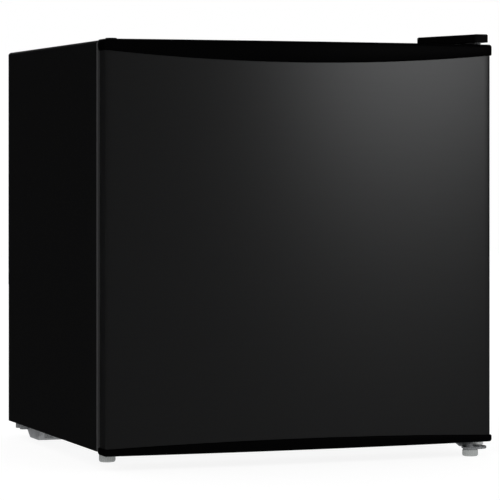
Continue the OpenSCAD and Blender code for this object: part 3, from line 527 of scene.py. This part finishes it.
class FRIDGE_OT_door(bpy.types.Operator):
    """Builds the bowed steel front, both caps, the seal and the inside of the door"""
    bl_idname = "fridge.door"
    bl_label = "Build Door"

    def execute(self, context):
        s = context.scene.fridge_door
        self.panel(s)
        self.top_cap(s)
        self.bottom_cap(s)
        self.seal()
        self.inside()
        return {"FINISHED"}

    def panel(self, s):
        rear, corner, fold = mm(s, "rear", "corner", "fold")
        upper, lower = cap_lines(s)
        half = door_half_width()
        lip = half - 14
        outer = [(-lip, rear)] + door_edge(s, 0, 1, rear, corner, fold) + [(lip, rear)]
        inner = ([(-lip, rear - 0.8)] + door_edge(s, -0.8, 1.8, rear - 0.8, corner - 0.8, fold - 0.8)
                 + [(lip, rear - 0.8)])
        bm = bmesh.new()
        rings = []
        for (ox, oy), (ix, iy) in zip(outer, inner):
            rings.append([(ox, oy, lower(ox) - 0.8), (ox, oy, upper(ox) + 0.8),
                          (ix, iy, upper(ix) + 0.8), (ix, iy, lower(ix) - 0.8)])
        loft(bm, rings)
        keep("door_front", bm, "door", "door_grey", ["door_panel"])

    def outline(self, s, inset):
        rear, over = mm(s, "rear", "overhang")
        return door_edge(s, over - inset, inset, rear - inset, max(2.5 - inset, 0.5),
                         max(2.4 - inset, 0.3))

    def top_cap(self, s):
        top = s.top / MM
        upper, _ = cap_lines(s)
        half = door_half_width() + 3
        bm = bmesh.new()
        rings = [[(x, y, upper(min(abs(x), half)) + rise) for x, y in self.outline(s, inset)]
                 for inset, rise in CAP_SEAM]
        r = CAP_ROUNDING
        for k in range(6):
            a = math.radians(90 * k / 5)
            rings.append([(x, y, top - r + r * math.sin(a))
                          for x, y in self.outline(s, r * (1 - math.cos(a)))])
        rows = loft(bm, rings, ends=False)
        bm.faces.new(rows[0])
        pocket_x, pocket_y = (-70.0, 70.0), (-216.0, -194.0)
        rims = [(2.0, top), (0.6, top - 0.6), (0.0, top - 2.0), (0.0, top - 11.0), (1.2, top - 13.2),
                (4.0, top - 14.0)]
        wells = []
        for grow, z in rims:
            g = grow if z > top - 5 else -grow
            ring = round_rect((pocket_x[0] - g, pocket_x[1] + g), (pocket_y[0] - g, pocket_y[1] + g),
                              5.0 + g)
            wells.append([(x, y, z) for x, y in ring])
        well_rows = loft(bm, wells, ends=False)
        bm.faces.new(well_rows[-1])
        loop = [bm.edges.get((rows[-1][i], rows[-1][(i + 1) % len(rows[-1])]))
                for i in range(len(rows[-1]))]
        loop += [bm.edges.get((well_rows[0][i], well_rows[0][(i + 1) % len(well_rows[0])]))
                 for i in range(len(well_rows[0]))]
        bmesh.ops.triangle_fill(bm, use_beauty=True, use_dissolve=False, edges=loop)
        keep("door_top_cap", bm, "door", "cap_black", ["door_top_cap"], 30)

    def bottom_cap(self, s):
        bottom = s.bottom / MM
        _, lower = cap_lines(s)
        half = door_half_width() + 3
        bm = bmesh.new()
        rings = []
        r = CAP_ROUNDING
        for k in range(6):
            a = math.radians(90 * k / 5)
            rings.append([(x, y, bottom + r - r * math.cos(a))
                          for x, y in self.outline(s, r * (1 - math.sin(a)))])
        rings += [[(x, y, lower(min(abs(x), half)) - drop) for x, y in self.outline(s, inset)]
                  for inset, drop in reversed(CAP_SEAM)]
        loft(bm, rings)
        keep("door_bottom_cap", bm, "door", "cap_black", ["door_bottom_cap"], 30)
        bm = bmesh.new()
        hx, hy = -HINGE_AXIS[0], HINGE_AXIS[1]
        turned(bm, [(0, 477), (6.2, 477), (6.5, 480.4), (6.2, 481.0), (5.4, 481.2), (0, 481.2)],
               (hx, hy, 0))
        turned(bm, [(0, 20), (6.4, 20), (6.5, 16.2), (5.8, 15.9), (0, 15.8)], (hx, hy, 0))
        keep("door_hole_plugs", bm, "door", "cap_black", ["door_hole_plugs"])
        dress("door_upper_bushing", "trim_white")
        dress("door_lower_bushing", "trim_white")

    def seal(self):
        x, z = 221.5, (30.0, 470.0)
        section = [(0.3, -187.4), (0, -186.6), (0.4, -185.9), (1.8, -185.3), (1.8, -184.6),
                   (0.4, -184.0), (0, -183.2), (0.2, -182.2), (1.4, -181.4), (3.0, -181.32),
                   (8.0, -181.5), (13, -181.32), (14.6, -181.4), (15.8, -182.2), (16, -183.2),
                   (15.6, -184.0), (14.2, -184.6), (14.2, -185.3), (15.6, -185.9), (16, -186.6),
                   (15.7, -187.4)]
        bm = bmesh.new()
        rings = [[(-x + m, y, z[0] + m), (x - m, y, z[0] + m), (x - m, y, z[1] - m),
                  (-x + m, y, z[1] - m)] for m, y in section]
        loft(bm, rings, around=True)
        keep("door_seal", bm, "door", "seal_grey", ["door_gasket"], 30)
        dress("gasket_magnets", "magnet")

    def inside(self):
        bm = bmesh.new()
        block(bm, (-222.5, 222.5), (-189, -187.5), (26, 474), 0.6, 2)
        for s in (-1, 1):
            block(bm, sorted((s * 179.1, s * 190)), (-188.6, -172), (58, 305), 4.5, 4)
        keep("door_lining", bm, "door", "liner_white", ["door_liner"], 40)
        for name, z0, height, node in (("lower_rack_piece", 60, 88, "lower_rack"),
                                       ("upper_rack_piece", 240, 60, "upper_rack")):
            bm = bmesh.new()
            x, y = (-178.8, 178.8), (-187.4, -100.2)
            rings = []
            for inset, z in ((4.0, 0.0), (1.4, 0.8), (0.2, 3.0), (0.0, 5.0), (0.0, height - 6.0),
                             (0.0, height - 1.0), (0.6, height), (1.6, height), (2.2, height - 1.0),
                             (2.2, 6.0), (2.6, 4.0), (3.8, 2.6), (6.0, 2.0)):
                ring = round_rect((x[0] + inset, x[1] - inset), (y[0] + inset, y[1] - inset),
                                  9.0 - inset, 6)
                rings.append([(px, py, z0 + z) for px, py in ring])
            loft(bm, rings)
            keep(name, bm, "door", "clear_plastic", [node], 30)
        dress("door_foam", "foam")


# ---------------------------------------------------------------- hinges and feet

def cover_outline(inset):
    """Plan of the hinge cover: narrow over the door, wide at the rear."""
    pts = arc(231.8 - 3, -104 - 3, 3 - inset, 0, 90, 4)
    pts += arc(188 + 6, -104 - 6, 6 - inset, 90, 194, 6)
    pts += [(215 + inset, -206)]
    pts += arc(215 + 2, -215 + 2, 2 - inset, 180, 270, 4)
    pts += arc(231.8 - 2, -215 + 2, 2 - inset, 270, 360, 4)
    return pts


class FRIDGE_OT_hinges(bpy.types.Operator):
    """Builds both hinges, the hinge cover and the levelling feet"""
    bl_idname = "fridge.hinges"
    bl_label = "Build Hinges and Feet"

    def execute(self, context):
        bm = bmesh.new()
        top, r = 492.0, 1.8
        rings = [[(x, y, 482.4) for x, y in cover_outline(0.5)],
                 [(x, y, 482.9) for x, y in cover_outline(0)]]
        for k in range(5):
            a = math.radians(90 * k / 4)
            rings.append([(x, y, top - r + r * math.sin(a))
                          for x, y in cover_outline(r * (1 - math.cos(a)))])
        loft(bm, rings)
        skirt = [(x, max(y, -180.2)) for x, y in cover_outline(0.05)]
        loft(bm, [[(x, y, 479.55) for x, y in skirt], [(x, y, 483.5) for x, y in skirt]])
        keep("hinge_cover", bm, "cabinet", "cover_black", ["top_hinge_cover"], 40)
        for node in ("top_hinge_bracket", "top_hinge_pin", "top_hinge_screws", "lower_hinge_pin",
                     "lower_hinge_screws"):
            dress(node, "hinge_steel")
        self.lower_bracket()
        self.feet()
        return {"FINISHED"}

    def lower_bracket(self):
        bm = bmesh.new()
        plate = [(211.5, -178), (211.5, -189.4)] + arc(219.5, -201.5, 14.5, 124, 189.3, 8)
        plate += arc(*RIGHT_FOOT, 8.5, 128.6, 321.4, 20)
        plate += arc(219.5, -201.5, 14.5, 260.7, 360, 12) + [(234, -178)]
        loft(bm, [[(x, y, z) for x, y in plate] for z in (8.0, 10.5)])
        bmesh.ops.bevel(bm, geom=[e for e in bm.edges if abs(e.verts[0].co.z - e.verts[1].co.z) < 0.1],
                        offset=0.7, affect="EDGES", segments=2, profile=0.5, material=-1)
        web = [(211.5, 8), (234, 8), (234, 18.6), (198, 18.6)]
        loft(bm, [[(x, y, z) for x, z in web] for y in (-180.1, -177.6)])
        block(bm, (198, 234), (-180.1, -118), (16.1, 18.6), 0.5)
        turned(bm, [(3.05, 9), (4.75, 9), (4.75, 11.7), (4.45, 12.0), (3.05, 12.0)],
               (*RIGHT_FOOT, 0), steps=32)
        keep("lower_hinge_bracket", bm, "cabinet", "hinge_steel", ["lower_hinge_bracket"])

    def feet(self):
        for name, place, d, h, body, node in (
                ("right_foot_pad_piece", (*RIGHT_FOOT, 0), 18.5, 7.8, "right_pad", "right_foot_pad"),
                ("left_foot_pad_piece", (*LEFT_FOOT, 0), 19.0, 10.5, "left_pad", "left_foot_pad")):
            bm = bmesh.new()
            r = d / 2
            turned(bm, [(0, 0), (r - 2.0, 0), (r - 0.9, 0.4), (r - 0.3, 1.2), (r, 2.4), (r, h - 1.0),
                        (r - 0.4, h - 0.2), (r - 1.2, h), (0, h)], place, steps=120, ribs=20, rib=0.9)
            keep(name, bm, body, "foot_plastic", [node], 60)
        dress("right_foot_stud", "hinge_steel")
        dress("left_foot_stud", "hinge_steel")
        dress("left_foot_insert", "foot_plastic")


# ---------------------------------------------------------------- cooling set

class FRIDGE_OT_cooling(bpy.types.Operator):
    """Builds the compressor, its base, the pipes and the rear condenser"""
    bl_idname = "fridge.cooling"
    bl_label = "Build Cooling Set"

    def execute(self, context):
        self.compressor()
        self.pipes()
        self.condenser()
        dress("compressor_base", "zinc_plate")
        dress("base_bolts", "hinge_steel")
        dress("rubber_mounts", "mount_rubber")
        dress("terminal_cover", "cover_black")
        dress("cord_gland", "cover_black")
        dress("condenser_brackets", "cover_black")
        dress("condenser_screws", "hinge_steel")
        return {"FINISHED"}

    def compressor(self):
        bm = bmesh.new()
        cx, cy = COMPRESSOR
        profile = [(0, 25), (47, 26.5)]
        profile += [(42 + 22 * math.sin(a), 44.5 - 18 * math.cos(a))
                    for a in [math.radians(9 * k) for k in range(2, 11)]]
        profile += [(64, 71.5), (66.4, 72), (66.4, 77), (64, 77.5), (64, 122)]
        profile += [(24 + 40 * math.cos(a), 122 + 27.5 * math.sin(a))
                    for a in [math.radians(9 * k) for k in range(1, 11)]]
        profile += [(0, 149.5)]
        turned(bm, profile, (cx, cy, 0), steps=72)
        block(bm, (cx - 84, cx + 84), (cy - 42, cy + 42), (24, 26.5), 0.8)
        for x, y0, z, run in ((74, 156, 110, 20), (-5, 156, 90, 18), (74, 62, 110, 10)):
            tube(bm, [(x, y0, z), (x, y0 + run, z)], 4.5, 20)
        keep("compressor", bm, "cabinet", "compressor_black", ["compressor_shell"], 40)

    def pipes(self):
        y, x = CONDENSER_PLANE, -186.0
        routes = {
            "suction_line_piece": ("suction_line", 3.0, 10, [(74, 176.2, 110), (74, 188, 110),
                                                      (74, 188, 395), (74, 135.3, 395)]),
            "discharge_line_piece": ("discharge_line", 2.4, 12, [(-5, 174.2, 90), (-5, y, 90), (x, y, 90),
                                                          (x, y, 215), (-173.2, y, 215)]),
            "liquid_line_piece": ("liquid_line", 2.4, 11, [(-173.2, y, 431), (-209, y, 431), (-209, y, 60),
                                                    (-209, 188, 60), (-209, 188, 71.8)]),
            "capillary_tube_piece": ("capillary_tube", 1.2, 8, [(-209, 188, 142.2), (-209, 188, 178),
                                                         (60, 188, 178), (60, 188, 395),
                                                         (60, 135.3, 395)]),
        }
        for name, (node, radius, bend, points) in routes.items():
            bm = bmesh.new()
            tube(bm, route(points, bend - 0.01, 8), radius, 16)
            keep(name, bm, "cabinet", "copper", [node], 60)
        bm = bmesh.new()
        turned(bm, [(2.5, 70), (3.6, 72), (5.5, 75), (7.6, 78.5), (8.4, 81), (8.5, 84), (8.5, 128),
                    (8.2, 131), (7, 134.5), (4.6, 139), (2.6, 142), (0, 142)], (-209, 188, 0))
        keep("filter_drier", bm, "cabinet", "copper", ["filter_drier"], 50)

    def condenser(self):
        bm = bmesh.new()
        y, half, pitch, z0, runs = CONDENSER_PLANE, 173.0, 24.0, 215.0, 10
        points = []
        for k in range(runs):
            side = 1 if k % 2 == 0 else -1
            z = z0 + k * pitch
            points.append(Vector((-side * half, y, z)))
            points.append(Vector((side * half, y, z)))
            if k < runs - 1:
                for i in range(1, 12):
                    a = math.radians(-90 + 15 * i)
                    points.append(Vector((side * (half + pitch / 2 * math.cos(a)), y,
                                          z + pitch / 2 + pitch / 2 * math.sin(a))))
        tube(bm, points, 2.4, 14)
        for i in range(37):
            x = -171 + 9.5 * i
            if abs(abs(x) - 161.5) < 6.8:
                continue
            for dy in (-2.9, 2.9):
                tube(bm, [(x, y + dy, z0 - 8), (x, y + dy, z0 + pitch * (runs - 1) + 8)], 0.8, 8)
        keep("condenser", bm, "cabinet", "compressor_black", ["condenser"], 60)


# ---------------------------------------------------------------- inside fittings

class FRIDGE_OT_fittings(bpy.types.Operator):
    """Builds the freezer box, drip tray, shelf and thermostat"""
    bl_idname = "fridge.fittings"
    bl_label = "Build Inside Fittings"

    def execute(self, context):
        self.freezer()
        self.tray()
        self.shelf()
        self.thermostat()
        return {"FINISHED"}

    def freezer(self):
        x, y, z = (-188.0, 92.0), (-88.0, 135.0), (346.0, 436.0)
        bm = bmesh.new()
        rings = []
        for inset, py in ((0, y[1]), (0, y[0]), (1.2, y[0]), (1.2, y[1] - 1.2)):
            ring = round_rect((x[0] + inset, x[1] - inset), (z[0] + inset, z[1] - inset), 7 - inset)
            rings.append([(px, py, pz) for px, pz in ring])
        loft(bm, rings)
        keep("freezer_box", bm, "cabinet", "evaporator_metal", ["evaporator_box"])
        bm = bmesh.new()
        path = []
        for i in range(6):
            row = [(-168, -62.5 + 34 * i, 346), (72, -62.5 + 34 * i, 346)]
            path += row if i % 2 == 0 else row[::-1]
        tube(bm, route(path, 12, 6), 2.0, 10)
        keep("freezer_box_passage", bm, "cabinet", "evaporator_metal", ["evaporator_channel"])
        bm = bmesh.new()
        outer = ((x[0] - 6, x[1] + 6), (z[0] - 6, z[1] + 6))
        inner = ((x[0] + 4, x[1] - 4), (z[0] + 5, z[1] - 6))
        sleeve = ((x[0] - 0.1, x[1] + 0.1), (z[0] - 0.1, z[1] + 0.1))
        rings = []
        for (lx, lz), inset, py, r in ((outer, 0, -80, 9), (outer, 0, -92.6, 9), (outer, 0.5, -93.6, 9),
                                       (outer, 1.6, -94, 8), (inner, -1.6, -94, 6),
                                       (inner, -0.5, -93.6, 5), (inner, 0, -92.6, 5),
                                       (inner, 0, -88.1, 5), (sleeve, 0, -88.1, 7),
                                       (sleeve, 0, -80, 7)):
            ring = round_rect((lx[0] + inset, lx[1] - inset), (lz[0] + inset, lz[1] - inset), r)
            rings.append([(px, py, pz) for px, pz in ring])
        loft(bm, rings, around=True)
        for ex in (x[0] - 6, x[1] + 1):
            block(bm, (ex, ex + 5), (-101, -93.8), (342, 352), 1.2, 3)
        keep("freezer_frame", bm, "cabinet", "trim_white", ["freezer_frame"])
        bm = bmesh.new()
        block(bm, (x[0] + 1, x[1] - 1), (-98.1, -95.9), (345.5, 431), 0.8, 3)
        block(bm, (-72, -24), (-102.1, -97.8), (422, 426), 1.2, 3)
        keep("freezer_flap", bm, "freezer_flap", "clear_plastic", ["freezer_flap"])
        bm = bmesh.new()
        for side in (-1, 1):
            ends = sorted((-48 + side * 139.0, -48 + side * 145.0))
            tube(bm, [(ends[0], -97, 347), (ends[1], -97, 347)], 2.0, 20)
        keep("freezer_flap_pins", bm, "freezer_flap", "trim_white")
        dress("evaporator_hangers", "trim_white")
        dress("evaporator_screws", "hinge_steel")
        dress("tray_rails", "trim_white")

    def tray(self):
        bm = bmesh.new()
        x, y, low, top = (-186.0, 90.0), (-92.0, 128.0), 312.0, 338.0
        rings = []
        for inset, z in ((5.0, low), (2.0, low + 0.8), (0.6, low + 2.6), (0.0, low + 5), (0, top - 0.6),
                         (0.6, top), (1.3, top), (1.9, top - 0.6), (1.9, low + 6), (3.4, low + 3),
                         (6.5, low + 1.8)):
            ring = round_rect((x[0] + inset, x[1] - inset), (y[0] + inset, y[1] - inset), 8 - inset)
            rings.append([(px, py, z) for px, py in ring])
        loft(bm, rings)
        for limits in ((x[0] - 6.4, x[0] + 1), (x[1] - 1, x[1] + 6.4)):
            block(bm, limits, (-78, 128), (333.2, 335.4), 0.7)
        block(bm, (-96, 0), (-97, -91.2), (316, 320), 1.4, 3)
        keep("drip_tray", bm, "drip_tray", "trim_white", ["drip_tray"])

    def shelf(self):
        bm = bmesh.new()
        x, y, z = 196.0, (-95.0, 150.3), 224.3
        loop = [(px, py, z) for px, py in round_rect((-x, x), y, 9, 6)]
        rings = []
        for k in range(len(loop)):
            a, b, c = Vector(loop[k - 1]), Vector(loop[k]), Vector(loop[(k + 1) % len(loop)])
            way = (c - a).normalized()
            side = Vector((way.y, -way.x, 0))
            rings.append([b + 2.5 * (side * math.cos(TAU * i / 14) + Vector((0, 0, 1))
                                     * math.sin(TAU * i / 14)) for i in range(14)])
        loft(bm, rings, around=True)
        tube(bm, [(-x, 27.65, z), (x, 27.65, z)], 2.0, 12)
        pitch = 2 * x / 16
        for i in range(1, 16):
            px = -x + pitch * i
            tube(bm, [(px, y[0] + 0.3, z + 2.2), (px, y[1] - 0.3, z + 2.2)], 1.5, 12)
        keep("wire_shelf", bm, "shelf", "shelf_wire", ["shelf"], 60)

    def thermostat(self):
        bm = bmesh.new()
        block(bm, (128, 200.5), (-70, 30), (372, 446), 4.0, 4)
        for k in range(8):
            a = math.radians(-60 + 300 * k / 7)
            c = Vector((KNOB[0] - 22 * math.sin(a), -70.3, KNOB[1] + 22 * math.cos(a)))
            block(bm, (c.x - 0.7, c.x + 0.7), (c.y - 0.4, c.y + 0.6), (c.z - 0.7, c.z + 0.7 + k * 0.25))
        keep("thermostat_housing", bm, "cabinet", "trim_white", ["thermostat_housing"])
        dress("thermostat_body", "thermostat_metal")
        bm = bmesh.new()
        turned(bm, [(3, -56.5), (3, -70.5), (16.2, -70.5), (17, -71.2), (16.6, -83.5), (15.6, -85.0),
                    (13.5, -85.5), (12.5, -84.6), (0, -84.4)], (KNOB[0], 0, KNOB[1]), "y", 108, 18, 0.7)
        block(bm, (162.5, 165.5), (-87, -84), (409, 424), 0.6)
        keep("thermostat_knob", bm, "thermostat_knob", "trim_white", ["thermostat_knob"], 50)


# ---------------------------------------------------------------- stage

class FRIDGE_OT_stage(bpy.types.Operator):
    """Sets up the camera, the pale floor and the soft studio lights"""
    bl_idname = "fridge.stage"
    bl_label = "Build Stage"

    def execute(self, context):
        s = context.scene.fridge_stage
        scene = context.scene
        cam = bpy.data.cameras.new("Camera")
        cam.lens = s.lens
        cam.sensor_width = 36.0
        cam.shift_y = s.shift
        cam.clip_end = 50
        cam_obj = bpy.data.objects.new("Camera", cam)
        cam_obj.location = s.place
        cam_obj.rotation_euler = (math.radians(90), 0, -s.yaw)
        scene.collection.objects.link(cam_obj)
        scene.camera = cam_obj
        scene.view_settings.view_transform = "Standard"
        self.floor()
        self.world(s)
        self.softbox("Key", (1.715, -3.0, 0.781), (0.12, -0.22, 0.42), 1.044, 0.533, s.key_power)
        self.softbox("Top", (0.1, 0.1, 2.4), (0, 0, 0.48), 1.4, 1.4, s.top_power)
        self.softbox("Rear", (0.25, 2.5, 0.4), (-0.1, 0.0, 0.3), 1.0, 1.3, s.rear_power)
        return {"FINISHED"}

    def floor(self):
        bm = bmesh.new()
        bmesh.ops.create_grid(bm, x_segments=1, y_segments=1, size=6.0)
        mesh = bpy.data.meshes.new("Floor")
        bm.to_mesh(mesh)
        bm.free()
        obj = bpy.data.objects.new("Floor", mesh)
        mesh.materials.append(finish_of("floor_paper"))
        bpy.context.scene.collection.objects.link(obj)
        obj.visible_glossy = False

    def world(self, s):
        world = bpy.data.worlds.new("Surround")
        world.use_nodes = True
        world.node_tree.nodes["Background"].inputs["Color"].default_value = (1, 1, 1, 1)
        world.node_tree.nodes["Background"].inputs["Strength"].default_value = s.world
        world.cycles_visibility.glossy = False
        bpy.context.scene.world = world

    def softbox(self, name, place, target, width, height, power):
        lamp = bpy.data.lights.new(name, "AREA")
        lamp.shape = "RECTANGLE"
        lamp.size = width
        lamp.size_y = height
        lamp.energy = power
        obj = bpy.data.objects.new(name, lamp)
        obj.location = place
        obj.rotation_euler = (Vector(target) - Vector(place)).to_track_quat("-Z", "Y").to_euler()
        obj.visible_camera = False
        bpy.context.scene.collection.objects.link(obj)


class FRIDGE_PT_panel(bpy.types.Panel):
    """Sidebar with the settings and the build steps"""
    bl_idname = "FRIDGE_PT_panel"
    bl_label = "Compact Fridge"
    bl_space_type = "VIEW_3D"
    bl_region_type = "UI"
    bl_category = "Fridge"

    def draw(self, context):
        layout = self.layout
        for title, group in (("Cabinet", context.scene.fridge_cabinet),
                             ("Door", context.scene.fridge_door),
                             ("Stage", context.scene.fridge_stage)):
            box = layout.box()
            box.label(text=title)
            for name in group.__annotations__:
                box.prop(group, name)
        for step in STEPS:
            layout.operator(step.bl_idname)


STEPS = (FRIDGE_OT_stage, FRIDGE_OT_cabinet, FRIDGE_OT_lining, FRIDGE_OT_door, FRIDGE_OT_hinges,
         FRIDGE_OT_cooling, FRIDGE_OT_fittings)
GROUPS = (("fridge_cabinet", CabinetSettings), ("fridge_door", DoorSettings),
          ("fridge_stage", StageSettings))


def register():
    for name, group in GROUPS:
        bpy.utils.register_class(group)
        setattr(bpy.types.Scene, name, PointerProperty(type=group))
    for step in STEPS:
        bpy.utils.register_class(step)
    bpy.utils.register_class(FRIDGE_PT_panel)


def unregister():
    bpy.utils.unregister_class(FRIDGE_PT_panel)
    for step in reversed(STEPS):
        bpy.utils.unregister_class(step)
    for name, group in reversed(GROUPS):
        delattr(bpy.types.Scene, name)
        bpy.utils.unregister_class(group)


def main():
    register()
    for step in STEPS:
        family, action = step.bl_idname.split(".")
        result = getattr(getattr(bpy.ops, family), action)()
        if result != {"FINISHED"}:
            raise RuntimeError(step.bl_label + " did not finish")


if __name__ == "__main__":
    main()
